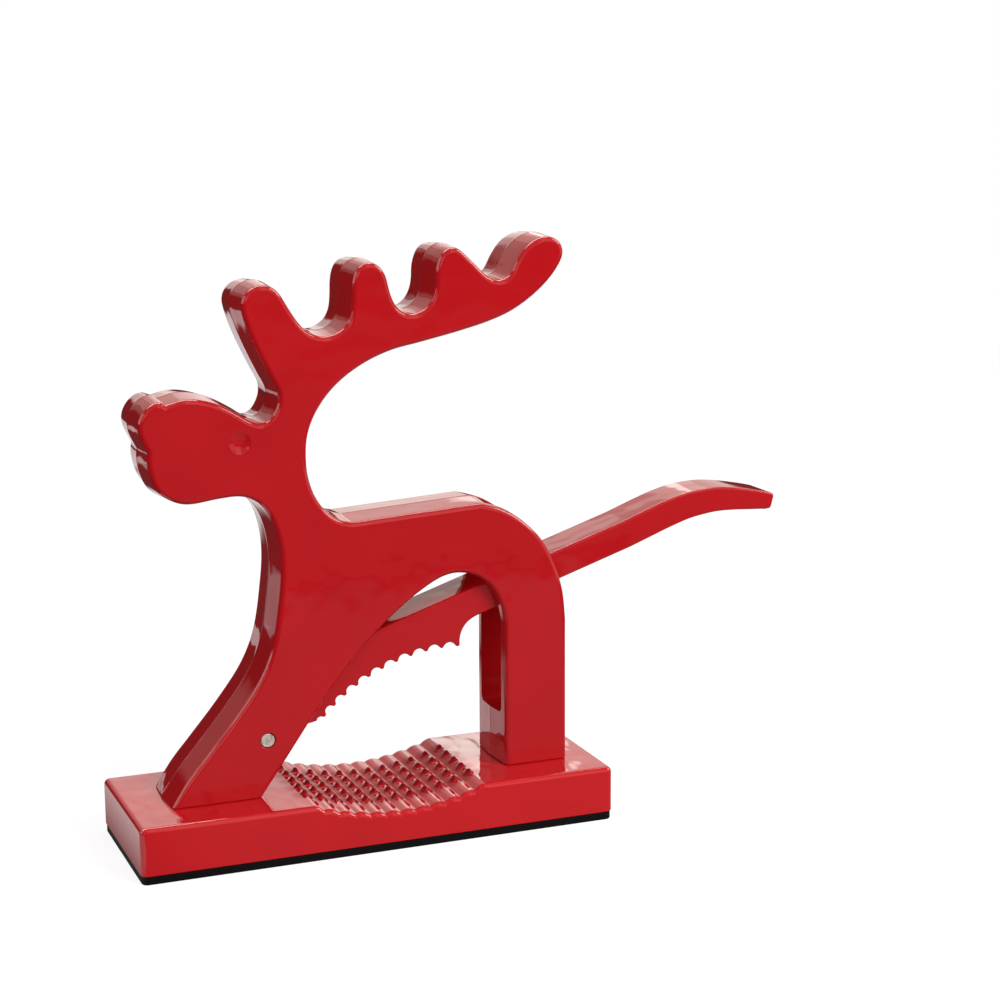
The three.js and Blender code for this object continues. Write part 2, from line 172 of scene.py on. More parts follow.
# Outline of the figure in shares of its length and height, run on below the soles
front_shares = [
    (0.021, -0.03), (0.081, 0.046), (0.126, 0.089), (0.195, 0.155),
    (0.253, 0.22), (0.284, 0.278), (0.303, 0.363), (0.31, 0.43),
    (0.304, 0.479), (0.286, 0.522), (0.26, 0.548), (0.224, 0.56),
    (0.177, 0.559), (0.099, 0.553), (0.062, 0.564), (0.036, 0.581),
    (0.022, 0.608), (0.017, 0.633), (0.019, 0.65),
]
nose_shares = [
    (0.019, 0.65), (0.001, 0.682), (0, 0.702), (0.013, 0.723),
    (0.034, 0.736), (0.051, 0.738), (0.062, 0.732),
]
antler_shares = [
    (0.062, 0.732), (0.109, 0.74), (0.167, 0.731), (0.22, 0.709),
    (0.248, 0.694), (0.272, 0.688), (0.289, 0.691), (0.302, 0.704),
    (0.312, 0.722), (0.312, 0.744), (0.296, 0.769), (0.259, 0.832),
    (0.239, 0.877), (0.234, 0.901), (0.245, 0.92), (0.27, 0.932),
    (0.295, 0.932), (0.319, 0.92), (0.334, 0.9), (0.359, 0.868),
    (0.377, 0.851), (0.4, 0.84), (0.425, 0.837), (0.449, 0.841),
    (0.47, 0.853), (0.482, 0.871), (0.486, 0.897), (0.488, 0.93),
    (0.499, 0.955), (0.522, 0.965), (0.548, 0.96), (0.565, 0.942),
    (0.576, 0.908), (0.589, 0.885), (0.61, 0.871), (0.63, 0.869),
    (0.652, 0.875), (0.67, 0.889), (0.681, 0.912), (0.685, 0.951),
    (0.702, 0.98), (0.732, 0.986), (0.763, 0.966), (0.814, 0.928),
    (0.838, 0.923), (0.861, 0.931), (0.876, 0.954), (0.905, 0.985),
    (0.947, 1), (0.982, 0.992), (0.994, 0.97), (0.977, 0.94),
    (0.933, 0.902), (0.873, 0.869), (0.819, 0.851), (0.741, 0.834),
    (0.638, 0.816), (0.578, 0.806), (0.51, 0.784), (0.445, 0.748),
    (0.401, 0.705), (0.379, 0.664), (0.374, 0.631), (0.377, 0.589),
    (0.392, 0.551), (0.418, 0.521), (0.448, 0.503), (0.478, 0.497),
]
rump_shares = [
    (0.786, 0.512), (0.83, 0.502), (0.869, 0.486), (0.907, 0.462),
    (0.939, 0.434), (0.963, 0.401), (0.981, 0.366), (0.994, 0.325),
    (1, 0.273),
]
rear_foot_shares = [(1, -0.03), (0.844, -0.03)]
arch_shares = [
    (0.844, 0.247), (0.843, 0.29), (0.827, 0.333), (0.792, 0.367),
    (0.74, 0.384), (0.697, 0.381), (0.639, 0.357), (0.567, 0.314),
    (0.502, 0.266), (0.431, 0.2), (0.372, 0.137),
]
front_heel_share = (0.225, -0.03)
arch_clear_share = 0.6

# Top edge of the handle in shares of its length and drop
handle_shares = [
    (0, 0), (0.15, -0.028), (0.3, -0.049), (0.445, -0.024), (0.55, 0.061),
    (0.64, 0.167), (0.755, 0.382), (0.852, 0.61), (0.934, 0.813), (1, 1),
]

# Enamel. Its painted shade, which darkens the stud tips most and the enamel between the studs less, and its
# gloss follow how near a point lies to the middle of a stud, from 0 to 1.
enamel_color = (0.47, 0.007, 0.0109)
enamel_drift = 0.05
enamel_roughness = 0.035
# Painted light: the base's copy of the enamel is made lighter by this factor for the stronger light that
# falls on the base
base_painted_light_factor = 1.2
base_wave_height = 0.00012
base_top_wave_height = 0.00035
figure_wave_height = 0.00025
# Painted shade on and between the studs: the share of the enamel's colour kept at each nearness to a stud
stud_painted_shades = [(0.08, 1.0), (0.25, 0.78), (0.6, 0.68), (0.85, 0.32)]
stud_gloss = [(0.08, 0.5), (0.2, 0.22), (0.55, 0.15), (0.85, 0.06)]

# Lamps: place, the point they face, size and power
key_lamp = ((0.52, -0.75, 0.75), (0.03, 0, 0.05), (0.7, 0.5), 9.4)
fill_lamp = ((-0.7, -0.9, 0.7), (0.02, 0, 0.07), (0.6, 0.6), 1.5)
ambient_level = 0.5

# Floor: its corners, its own glow for the camera, and its albedo for the camera and for the part
floor_low = (-0.5, -0.35)
floor_high = (0.9, 1.0)
floor_glow = 0.86
floor_albedo = 0.25
floor_bounce = 0.5

# The studio as the enamel mirrors it. A panel is a stretch of azimuth, from +Y towards +X, and one of
# elevation, in degrees, the softness of its sides and its level, where 1 is white.
mirrored_panels = [
    (-181, 181, 11, 95, 5, 0.32),
    (-181, 181, 62, 95, 8, 0.6),
    (-3, 75, 2, 95, 3, 0.95),
    (8, 27, 3, 25, 4, 1.35),
    (-62, -3, 16, 95, 3, 0.7),
    (-112, -56, 6, 36, 4, 2.6),
    (-168, -138, 8, 23, 6, 1.3),
    (82, 116, 20, 48, 8, 7.0),
    (142, 168, 4, 75, 4, 1.0),
    (19.5, 23.5, 13, 21, 2, 3.0),
    (-75, 60, 52, 72, 6, 9.0),
    (60, 143, -10, 17, 6, 0.7),
    (112, 181, -35, -6, 6, 0.15),
]
mirrored_rest = 0.03
mirror_tint = (1, 0.96, 0.9)

# The table top as the enamel mirrors it: stretches of x and y, softness and level
mirrored_table = [
    (-0.07, 0.22, -0.32, 0.06, 0.08, 0.27),
    (-0.125, -0.08, -0.06, 0.1, 0.02, 1.0),
    (-0.04, 0.3, 0.03, 0.16, 0.05, 0.95),
    (-0.05, 0.3, 0.2, 0.6, 0.06, 0.95),
    (-0.45, -0.205, 0.36, 0.6, 0.03, 0.6),
    (-0.3, 0.3, 0.5, 0.85, 0.05, 0.95),
]
mirrored_table_rest = 0.04

# Places that follow from the sizes above
base_top = figure_low.z
base_half_length = (base_high.x - base_low.x) / 2
base_half_width = (base_high.y - base_low.y) / 2
figure_length = figure_high.x - figure_low.x - 2 * draft
figure_height = figure_high.z - base_top - draft
figure_front = figure_low.x + draft
figure_thickness = figure_high.y - figure_low.y
first_column = dish_middle - dish_length / 2 + stud_first_inset
stud_columns = math.floor((dish_length - stud_first_inset - stud_last_inset) / ripple_pitch) + 1


def figure_place(share):
    return np.array([figure_front + share[0] * figure_length, base_top + share[1] * figure_height])


# Outlines in the XZ plane, as arrays of points

def spline(knots, steps=8):
    """A centripetal Catmull-Rom run through the knots."""
    knots = np.array(knots, float)
    before = 2 * knots[0] - knots[1]
    after = 2 * knots[-1] - knots[-2]
    run = np.vstack([before, knots, after])
    points = []
    for i in range(len(knots) - 1):
        p0, p1, p2, p3 = run[i:i + 4]
        d0, d1, d2 = (math.sqrt(np.linalg.norm(b - a)) for a, b in ((p0, p1), (p1, p2), (p2, p3)))
        slope_in = ((p1 - p0) / d0 - (p2 - p0) / (d0 + d1) + (p2 - p1) / d1) * d1
        slope_out = ((p2 - p1) / d1 - (p3 - p1) / (d1 + d2) + (p3 - p2) / d2) * d1
        for j in range(steps):
            t = j / steps
            points.append(
                p1 * (2 * t ** 3 - 3 * t ** 2 + 1) + slope_in * (t ** 3 - 2 * t ** 2 + t)
                + p2 * (3 * t ** 2 - 2 * t ** 3) + slope_out * (t ** 3 - t ** 2)
            )
    points.append(knots[-1])
    return np.array(points)


def even(points, spacing):
    """The same run with points at an even spacing."""
    points = np.array(points, float)
    along = np.concatenate([[0], np.cumsum(np.linalg.norm(np.diff(points, axis=0), axis=1))])
    count = max(1, round(along[-1] / spacing))
    at = np.linspace(0, along[-1], count + 1)
    return np.column_stack([np.interp(at, along, points[:, k]) for k in range(2)])


def eased(points, reach):
    """An evenly spaced run with its curvature evened out over a few points, its ends kept."""
    points = np.array(points, float)
    for _ in range(reach):
        points[1:-1] = points[1:-1] / 2 + (points[:-2] + points[2:]) / 4
    return points


def flowing(shares, reach):
    """A smooth stretch of the figure's outline through places in shares."""
    knots = [figure_place(share) for share in shares]
    return eased(even(spline(knots), figure_spacing), reach)


def arc(centre, radius, from_degrees, to_degrees, steps):
    angles = np.radians(np.linspace(from_degrees, to_degrees, steps + 1))
    return np.column_stack([centre[0] + radius * np.cos(angles), centre[1] + radius * np.sin(angles)])


def bend(start, corner, end, steps):
    """A quadratic curve from start to end that leans towards the corner."""
    t = np.linspace(0, 1, steps + 1)[:, None]
    return (1 - t) ** 2 * np.array(start) + 2 * t * (1 - t) * np.array(corner) + t ** 2 * np.array(end)


def turns_left(points):
    x, z = points[:, 0], points[:, 1]
    return np.sum(x * np.roll(z, -1) - np.roll(x, -1) * z) > 0


def outset(points, distances):
    """The closed outline, run anticlockwise, with each point moved outwards along its mitred normal by a
    distance of its own."""
    run_in = points - np.roll(points, 1, axis=0)
    run_out = np.roll(points, -1, axis=0) - points
    run_in /= np.linalg.norm(run_in, axis=1)[:, None]
    run_out /= np.linalg.norm(run_out, axis=1)[:, None]
    square = np.column_stack([run_in[:, 1], -run_in[:, 0]])
    normal = square + np.column_stack([run_out[:, 1], -run_out[:, 0]])
    normal /= np.linalg.norm(normal, axis=1)[:, None]
    reach = np.sum(normal * square, axis=1)
    return points + normal * (distances / reach)[:, None]


# Meshes

def make_object(name, vertices, faces):
    mesh = bpy.data.meshes.new(name)
    mesh.from_pydata(vertices, [], faces)
    bm = bmesh.new()
    bm.from_mesh(mesh)
    bmesh.ops.remove_doubles(bm, verts=bm.verts, dist=merge_distance)
    bmesh.ops.recalc_face_normals(bm, faces=bm.faces)
    bm.to_mesh(mesh)
    bm.free()
    piece = bpy.data.objects.new(name, mesh)
    bpy.context.scene.collection.objects.link(piece)
    return piece


def ring_faces(rings, count):
    """Faces between successive rings of equally many vertices."""
    faces = []
    for r in range(rings - 1):
        for i in range(count):
            j = (i + 1) % count
            faces.append((r * count + i, r * count + j, (r + 1) * count + j, (r + 1) * count + i))
    return faces


def loft(name, rings):
    """A closed mesh from rings of equally many points, with a flat face over each end ring."""
    count = len(rings[0])
    vertices = [tuple(point) for ring in rings for point in ring]
    ends = [tuple(range(count))[::-1], tuple(range((len(rings) - 1) * count, len(rings) * count))]
    return make_object(name, vertices, ends + ring_faces(len(rings), count))


def quarter(steps):
    return np.linspace(0, math.pi / 2, steps + 1)


def plate(name, outline, thickness, edge_radius, lean=0, edge_steps=6):
    """A plate in the XZ plane centred on y = 0. The edges of its faces are rounded, by one radius or by one
    for each point. With a lean, its walls slope out to a raised seam at the middle."""
    radius = np.broadcast_to(np.asarray(edge_radius, float), (len(outline),))
    if not turns_left(outline):
        outline, radius = outline[::-1], radius[::-1]
    half = thickness / 2
    wall = half - radius
    sections = []
    for a in quarter(edge_steps):
        sections.append((half - radius * (1 - math.cos(a)), -radius * (1 - math.sin(a))))
    if lean:
        seam = np.full(len(outline), seam_width / 2)
        rise = lean - seam_height
        for y in ((wall + seam) / 2, (wall + 7 * seam) / 8, seam):
            sections.append((y, rise * (1 - (y - seam) / wall)))
        sections += [(seam / 2, rise + 0.6 * seam_height), (0 * wall, rise + seam_height)]
    far = [(-y, out) for y, out in reversed(sections) if np.any(y)]
    rings = []
    for y, out in sections + far:
        points = outset(outline, out)
        rings.append(np.column_stack([points[:, 0], y, points[:, 1]]))
    return loft(name, rings)


def turned(name, centre, profile, steps=48):
    """A closed mesh turned about an axis along Y through the centre, from a profile of radius and y."""
    rings = []
    for radius, y in profile:
        circle = arc(centre, radius, 0, 360, steps)[:-1]
        rings.append(np.column_stack([circle[:, 0], np.full(steps, y), circle[:, 1]]))
    return loft(name, rings)


def cylinder(name, centre, radius, length):
    return turned(name, centre, [(radius, -length / 2), (radius, length / 2)])


def cut(piece, cutter):
    """Takes the cutter out of the piece and deletes it."""
    modifier = piece.modifiers.new("cut", "BOOLEAN")
    modifier.operation = "DIFFERENCE"
    modifier.solver = "EXACT"
    modifier.object = cutter
    bpy.context.view_layer.update()
    evaluated = piece.evaluated_get(bpy.context.evaluated_depsgraph_get())
    mesh = bpy.data.meshes.new_from_object(evaluated)
    piece.modifiers.clear()
    old = piece.data
    piece.data = mesh
    bpy.data.meshes.remove(old)
    bpy.data.objects.remove(cutter)


def round_edges(piece, chosen, radius, segments, sharp_degrees=30):
    """Rounds the sharp outward edges that chosen(edge) picks."""
    bm = bmesh.new()
    bm.from_mesh(piece.data)
    edges = []
    for edge in bm.edges:
        if len(edge.link_faces) != 2 or not edge.is_convex:
            continue
        if edge.calc_face_angle(0) > math.radians(sharp_degrees) and chosen(edge):
            edges.append(edge)
    bmesh.ops.bevel(
        bm, geom=edges, offset=radius, offset_type="OFFSET", segments=segments, profile=0.5,
        affect="EDGES", clamp_overlap=True,
    )
    bm.to_mesh(piece.data)
    bm.free()


def slice_level(bm, height, **options):
    return bmesh.ops.bisect_plane(
        bm, geom=bm.verts[:] + bm.edges[:] + bm.faces[:], dist=merge_distance,
        plane_co=(0, 0, height), plane_no=(0, 0, 1), **options,
    )


def round_soles(piece, height, radius, steps=4):
    """Trims a piece flat at a height and rounds the edge there, by drawing its lowest rings in."""
    bm = bmesh.new()
    bm.from_mesh(piece.data)
    trimmed = slice_level(bm, height, clear_inner=True)
    rim = [g for g in trimmed["geom_cut"] if isinstance(g, bmesh.types.BMEdge)]
    bmesh.ops.holes_fill(bm, edges=rim, sides=0)
    for a in quarter(steps)[1:]:
        slice_level(bm, height + radius * (1 - math.cos(a)))
    bm.normal_update()
    moves = []
    for vertex in bm.verts:
        rise = vertex.co.z - height
        walls = [f.normal * f.calc_area() for f in vertex.link_faces if abs(f.normal.z) < 0.9]
        if rise > radius - merge_distance or not walls:
            continue
        out = sum(walls, Vector())
        out.z = 0
        inset = radius - math.sqrt(max(0, radius ** 2 - (radius - rise) ** 2))
        moves.append((vertex, -out.normalized() * inset))
    for vertex, move in moves:
        vertex.co += move
    bmesh.ops.recalc_face_normals(bm, faces=bm.faces)
    bm.to_mesh(piece.data)
    bm.free()


def smooth_shaded(piece, sharp_degrees=40):
    """Smooth shading that keeps flat faces flat and corners crisp."""
    for polygon in piece.data.polygons:
        polygon.use_smooth = True
    bm = bmesh.new()
    bm.from_mesh(piece.data)
    for edge in bm.edges:
        edge.smooth = edge.calc_face_angle(0) < math.radians(sharp_degrees)
    bm.to_mesh(piece.data)
    bm.free()
    modifier = piece.modifiers.new("weighted_normals", "WEIGHTED_NORMAL")
    modifier.mode = "FACE_AREA"
    modifier.keep_sharp = True
    return piece


# Base casting

def dish_floor(x):
    radius = ((dish_length / 2) ** 2 + dish_depth ** 2) / (2 * dish_depth)
    off_middle = np.clip(np.abs(x - dish_middle), 0, radius)
    return radius - dish_depth - np.sqrt(radius ** 2 - off_middle ** 2)


def top_height(x):
    """Height of the base's top along its length, its dish rippled and eased into the flat."""
    wave = np.cos(math.pi * (x - first_column) / ripple_pitch)
    ripple = ripple_depth * (1 - np.sqrt(wave ** 2 + valley_softness ** 2 * (1 - wave ** 2)))
    depth = dish_floor(x)
    fade = np.clip(-depth / ripple_depth, 0, 1)
    below = depth - ripple * fade
    soft = dish_rim_softness
    eased_depth = (below - np.sqrt(below ** 2 + soft ** 2)) / 2 + soft / 2 * np.exp(-np.abs(below) / soft)
    return base_top + np.minimum(eased_depth, 0)


def stud_places():
    """The studs stand in rows along the crests of the ripples."""
    for column in range(stud_columns):
        for row in range(stud_rows):
            yield first_column + column * ripple_pitch, (row - (stud_rows - 1) / 2) * stud_row_pitch


def stud_rise(x, y):
    """Height of blunt cones over the surface that carries them."""
    rise = np.zeros(np.broadcast(x, y).shape)
    tip_reach = stud_tip_radius * math.sin(stud_flank_angle)
    for stud_x, stud_y in stud_places():
        away = np.hypot(x - stud_x, y - stud_y)
        tip = np.sqrt(stud_tip_radius ** 2 - np.minimum(away, tip_reach) ** 2) - stud_tip_radius
        cone = stud_height + tip - math.tan(stud_flank_angle) * np.maximum(0, away - tip_reach)
        rise = np.maximum(rise, (cone + np.sqrt(cone ** 2 + stud_foot_softness ** 2)) / 2)
    return rise


def mark_studs(piece):
    """Keeps how near each point lies to the middle of a stud, from 0 to 1, for the enamel's painted shade
    and its gloss.
    """
    places = np.array([vertex.co for vertex in piece.data.vertices])
    near = np.zeros(len(places))
    for x, y in stud_places():
        away = np.hypot(places[:, 0] - x, places[:, 1] - y)
        near = np.maximum(near, 1 / (1 + (away / stud_reach) ** 2))
    piece.data.attributes.new("near_stud", "FLOAT", "POINT").data.foreach_set("value", near)
    return piece


def graded(low, fine_low, fine_high, high):
    """Coordinates from low to high, close together in the fine stretch."""
    def steps(start, end, step):
        return np.linspace(start, end, max(1, math.ceil((end - start) / step)) + 1)

    return np.concatenate([
        steps(low, fine_low, coarse_step)[:-1],
        steps(fine_low, fine_high, fine_step),
        steps(fine_high, high, coarse_step)[1:],
    ])


def base_rim(xs, ys, inset):
    """Plan points of the base's rim at an inset, with the grid's steps along its sides."""
    r = base_corner_radius - inset
    x = base_half_length - base_corner_radius
    y = base_half_width - base_corner_radius
    along = np.full(len(ys), base_half_length - inset)
    across = np.full(len(xs), base_half_width - inset)
    return np.vstack([
        np.column_stack([xs, -across]), arc((x, -y), r, -90, 0, corner_steps)[1:-1],
        np.column_stack([along, ys]), arc((x, y), r, 0, 90, corner_steps)[1:-1],
        np.column_stack([xs[::-1], across]), arc((-x, y), r, 90, 180, corner_steps)[1:-1],
        np.column_stack([-along, ys[::-1]]), arc((-x, -y), r, 180, 270, corner_steps)[1:-1],
    ])


def base_rings(xs, ys):
    """Rings from the sole up over the rounded edge to the border of the top's grid."""
    rings = []
    for a in quarter(base_sole_steps)[::-1]:
        plan = base_rim(xs, ys, base_sole_radius * (1 - math.cos(a)))
        level = base_low.z + base_sole_radius * (1 - math.sin(a))
        rings.append(np.column_stack([plan, np.full(len(plan), level)]))
    for a in quarter(base_edge_steps):
        plan = base_rim(xs, ys, base_edge_radius * (1 - math.cos(a)))
        drop = base_edge_radius * (1 - math.sin(a))
        rings.append(np.column_stack([plan, top_height(plan[:, 0]) - drop]))
    plan = base_rim(xs, ys, base_corner_radius)
    rings.append(np.column_stack([plan, top_height(plan[:, 0])]))
    return rings


def make_base():
    half_dish = dish_length / 2 + dish_margin
    half_band = (stud_rows - 1) / 2 * stud_row_pitch + 2 * stud_tip_radius
    x = base_half_length - base_corner_radius
    y = base_half_width - base_corner_radius
    xs = graded(-x, dish_middle - half_dish, dish_middle + half_dish, x)
    ys = graded(-y, -half_band, half_band, y)
    grid_x, grid_y = np.meshgrid(xs, ys, indexing="ij")
    grid_z = top_height(grid_x) + stud_rise(grid_x, grid_y)
    rings = base_rings(xs, ys)
    count = len(rings[0])
    vertices = [tuple(point) for ring in rings for point in ring]
    faces = [tuple(range(count))[::-1]] + ring_faces(len(rings), count)
    start = len(vertices)
    vertices += list(zip(grid_x.ravel().tolist(), grid_y.ravel().tolist(), grid_z.ravel().tolist()))
    for i in range(len(xs) - 1):
        for j in range(len(ys) - 1):
            a = start + i * len(ys) + j
            faces.append((a, a + len(ys), a + len(ys) + 1, a + 1))
    piece = make_object("enamelled_base", vertices, faces)
    return mark_studs(smooth_shaded(piece, base_sharp_degrees))


# Figure casting

def figure_outline():
    return np.vstack([
        flowing(front_shares, reach=4)[:-1],
        flowing(nose_shares, reach=2)[:-1],
        flowing(antler_shares, reach=4),
        flowing(rump_shares, reach=6),
        [figure_place(share) for share in rear_foot_shares],
        flowing(arch_shares, reach=6),
        [figure_place(front_heel_share)],
    ])


def slot_cutter():
    """The lever's slot, with round corners along its floor."""
    angle = bar_rise + lift
    along = np.array([math.cos(angle), math.sin(angle)])
    across = np.array([-along[1], along[0]])
    centre = np.array([pivot.x, pivot.z])
    radius = boss_radius + sweep_clearance
    corner = centre + along * (root_length - sweep_clearance) + across * (bar_offset + sweep_clearance)
    to_corner = corner - centre
    corner_angle = math.atan2(to_corner[1], to_corner[0]) + math.acos(radius / np.linalg.norm(to_corner))
    rear = figure_high.x + 2 * slot_corner_radius
    front = figure_front + arch_clear_share * figure_length
    floor = base_top + slot_floor
    outline = np.vstack([
        [rear, floor],
        [rear, corner[1] + (rear - corner[0]) * math.tan(angle)],
        corner,
        arc(centre, radius, math.degrees(corner_angle), 270, slot_root_steps),
        [front, pivot.z - radius],
        [front, floor],
    ])
    radii = np.where(np.abs(outline[:, 1] - floor) < merge_distance, slot_corner_radius, 0)
    return plate("slot_cutter", outline, slot_width, radii)


def eye_cutter(side):
    """A ball that dimples a face of the figure."""
    ball = (eye_radius ** 2 + eye_depth ** 2) / (2 * eye_depth)
    middle = side * (figure_thickness / 2 + ball - eye_depth)
    poles = np.linspace(-1, 1, eye_rings + 1)[1:-1] * math.pi / 2
    profile = [(ball * math.cos(a), middle + ball * math.sin(a)) for a in poles]
    return turned("eye_cutter", figure_place(eye_share), profile, eye_steps)


def at_slot_mouth(edge):
    half_slot = slot_width / 2 + plane_tolerance
    floor = base_top + slot_floor - plane_tolerance
    return all(abs(vertex.co.y) < half_slot and vertex.co.z > floor for vertex in edge.verts)


def on_face_circle(centre, radius):
    """A test for edges that lie on a circle in either face of the figure."""
    def chosen(edge):
        for vertex in edge.verts:
            away = math.hypot(vertex.co.x - centre[0], vertex.co.z - centre[1])
            if abs(abs(vertex.co.y) - figure_thickness / 2) >= plane_tolerance:
                return False
            if abs(away - radius) >= circle_tolerance:
                return False
        return True

    return chosen


def make_figure():
    piece = plate("figure", figure_outline(), figure_thickness, face_radius, draft)
    cut(piece, slot_cutter())
    cut(piece, cylinder("hole_cutter", (pivot.x, pivot.z), pin_hole_radius, 2 * figure_thickness))
    cut(piece, eye_cutter(-1))
    cut(piece, eye_cutter(1))
    round_edges(piece, at_slot_mouth, mouth_radius, segments=3)
    round_edges(piece, on_face_circle((pivot.x, pivot.z), pin_hole_radius), hole_edge_radius, segments=3)
    round_edges(piece, on_face_circle(figure_place(eye_share), eye_radius), eye_rim_radius, segments=6)
    round_soles(piece, base_top, sole_radius)
    return smooth_shaded(piece)


# Lever

def tooth_degrees(tooth):
    along = tooth * (tooth_pitch - tooth * tooth_closing) * mm
    return heel_degrees + math.degrees(along / jaw_radius)


def on_jaw(radius, degrees):
    return arc(jaw_centre, radius, degrees, degrees, 1)[0]


def bar_edges():
    knots = [(handle_start + a * handle_length, bar_offset - d * handle_drop) for a, d in handle_shares]
    handle = eased(even(spline(knots), handle_spacing), reach=4)
    top = np.vstack([[root_length + root_corner_radius, bar_offset], handle])
    run = np.vstack([top[1:], top[-1:]]) - np.vstack([top[:1], top[:-1]])
    run /= np.linalg.norm(run, axis=1)[:, None]
    past_start = np.maximum(0, top[:, 0] - handle_start) / handle_length
    depth = bar_depth + (tip_depth - bar_depth) * past_start ** 3
    underside = top + np.column_stack([run[:, 1], -run[:, 0]]) * depth[:, None]
    return top, underside


def tooth_rise(aside, half):
    """How far the jaw's edge lies past the arc of its tips, at a distance from a tip and with the next tip
    twice half away. The tips and the scallops are round and meet smoothly."""
    reach = (half ** 2 + tooth_depth ** 2) / (2 * tooth_depth)
    scallop = reach - tooth_tip_radius
    if aside * reach < half * tooth_tip_radius:
        return tooth_tip_radius - math.sqrt(tooth_tip_radius ** 2 - aside ** 2)
    return tooth_depth - scallop + math.sqrt(scallop ** 2 - (half - aside) ** 2)


def jaw_profile():
    """The jaw's edge from the middle of its last scallop to the heel, whose tip is round like the teeth."""
    points = []
    for gap in reversed(range(teeth)):
        near, far = tooth_degrees(gap), tooth_degrees(gap + 1)
        half = math.radians(far - near) * jaw_radius / 2
        start = 0.5 if gap == teeth - 1 else 1
        for share in np.linspace(start, 0, tooth_steps, endpoint=False):
            rise = tooth_rise(2 * half * min(share, 1 - share), half)
            points.append(on_jaw(jaw_radius + rise, near + share * (far - near)))
    heel = on_jaw(jaw_radius + tooth_tip_radius, heel_degrees)
    heel_run = arc(heel, tooth_tip_radius, 180 + heel_degrees, 360, heel_steps)
    return even(np.vstack([points, heel_run]), jaw_spacing)


def lever_outline():
    """The lever's outline, anticlockwise, and its edge radius at each point."""
    top, underside = bar_edges()
    root_corner = np.array([root_length, bar_offset])
    root_angle = math.atan2(bar_offset, root_length) + math.acos(boss_radius / np.linalg.norm(root_corner))
    boss = arc((0, 0), boss_radius, math.degrees(root_angle), 360 + boss_end_degrees, boss_steps)
    root_run = (boss[0] - root_corner) / np.linalg.norm(boss[0] - root_corner) * root_corner_radius
    jaw = jaw_profile()
    flat_run = (boss[-1] - jaw_root) / np.linalg.norm(boss[-1] - jaw_root) * tooth_tip_radius
    bar_foot = bar_offset - bar_depth
    heel_x = jaw[-1][0]
    neck = bend(jaw[-1], (heel_x + neck_length / 4, bar_foot), (heel_x + neck_length, bar_foot), neck_steps)
    high_tip = top[-1]
    low_tip = underside[-1]
    tip_run = (high_tip - top[-2]) / np.linalg.norm(high_tip - top[-2]) * tip_corner_radius
    tip_rise = (high_tip - low_tip) / np.linalg.norm(high_tip - low_tip) * tip_corner_radius
    parts = [
        (bend(top[0], root_corner, root_corner + root_run, root_corner_steps), bar_edge_radius),
        (boss, bar_edge_radius),
        (bend(jaw_root + flat_run, jaw_root, jaw[0], jaw_root_steps)[:-1], tooth_edge_radius),
        (jaw, tooth_edge_radius),
        (even(neck, neck_spacing)[1:], bar_edge_radius),
        (even(underside[underside[:, 0] > neck[-1][0]], bar_spacing)[1:-1], bar_edge_radius),
        (bend(low_tip - tip_run, low_tip, low_tip + tip_rise, tip_corner_steps), bar_edge_radius),
        (bend(high_tip - tip_rise, high_tip, high_tip - tip_run, tip_corner_steps), bar_edge_radius),
        (even(top[1:-1][::-1], bar_spacing)[1:-1], bar_edge_radius),
    ]
    radii = np.concatenate([np.full(len(points), radius) for points, radius in parts])
    for _ in range(edge_radius_passes):
        radii = (np.roll(radii, 1) + 2 * radii + np.roll(radii, -1)) / 4
    return np.vstack([points for points, _ in parts]), radii


def make_lever():
    outline, radii = lever_outline()
    piece = plate("lever_casting", outline, lever_thickness, radii, edge_steps=5)
    cut(piece, cylinder("hole_cutter", (0, 0), pin_hole_radius, 2 * lever_thickness))
    piece.data.transform(Matrix.Translation(pivot) @ Matrix.Rotation(-bar_rise, 4, "Y"))
    return smooth_shaded(piece)


# Pad and pin

def pad_rim(inset):
    """Plan points of the pad's rim with round corners, at an inset."""
    x = (pad_high.x - pad_low.x) / 2 - base_corner_radius
    y = (pad_high.y - pad_low.y) / 2 - base_corner_radius
    r = base_corner_radius - inset
    return np.vstack([
        arc((x, -y), r, -90, 0, corner_steps), arc((x, y), r, 0, 90, corner_steps),
        arc((-x, y), r, 90, 180, corner_steps), arc((-x, -y), r, 180, 270, corner_steps),
    ])


def make_pad():
    levels = []
    for a in quarter(pad_edge_steps)[::-1]:
        levels.append((pad_edge_radius * (1 - math.cos(a)), pad_edge_radius * (1 - math.sin(a))))
    levels += [(inset, pad_high.z - z) for inset, z in reversed(levels)]
    rings = []
    for inset, z in levels:
        plan = pad_rim(inset)
        rings.append(np.column_stack([plan, np.full(len(plan), z)]))
    return smooth_shaded(loft("rubber_pad", rings))


def make_pin():
    """A cut pin whose ends are dished a little inside a rolled edge."""
    half = (pin_high.y - pin_low.y) / 2
    end = []
    for share in pin_dish_shares:
        end.append((pin_radius * share, -half + pin_dish_depth * (1 - share ** 4)))
    for a in quarter(pin_edge_steps):
        inset = pin_edge_radius * (1 - math.sin(a))
        end.append((pin_radius - inset, -half + pin_edge_radius * (1 - math.cos(a))))
    return smooth_shaded(turned("pin", (pivot.x, pivot.z), end + [(r, -y) for r, y in reversed(end)]))


# Materials

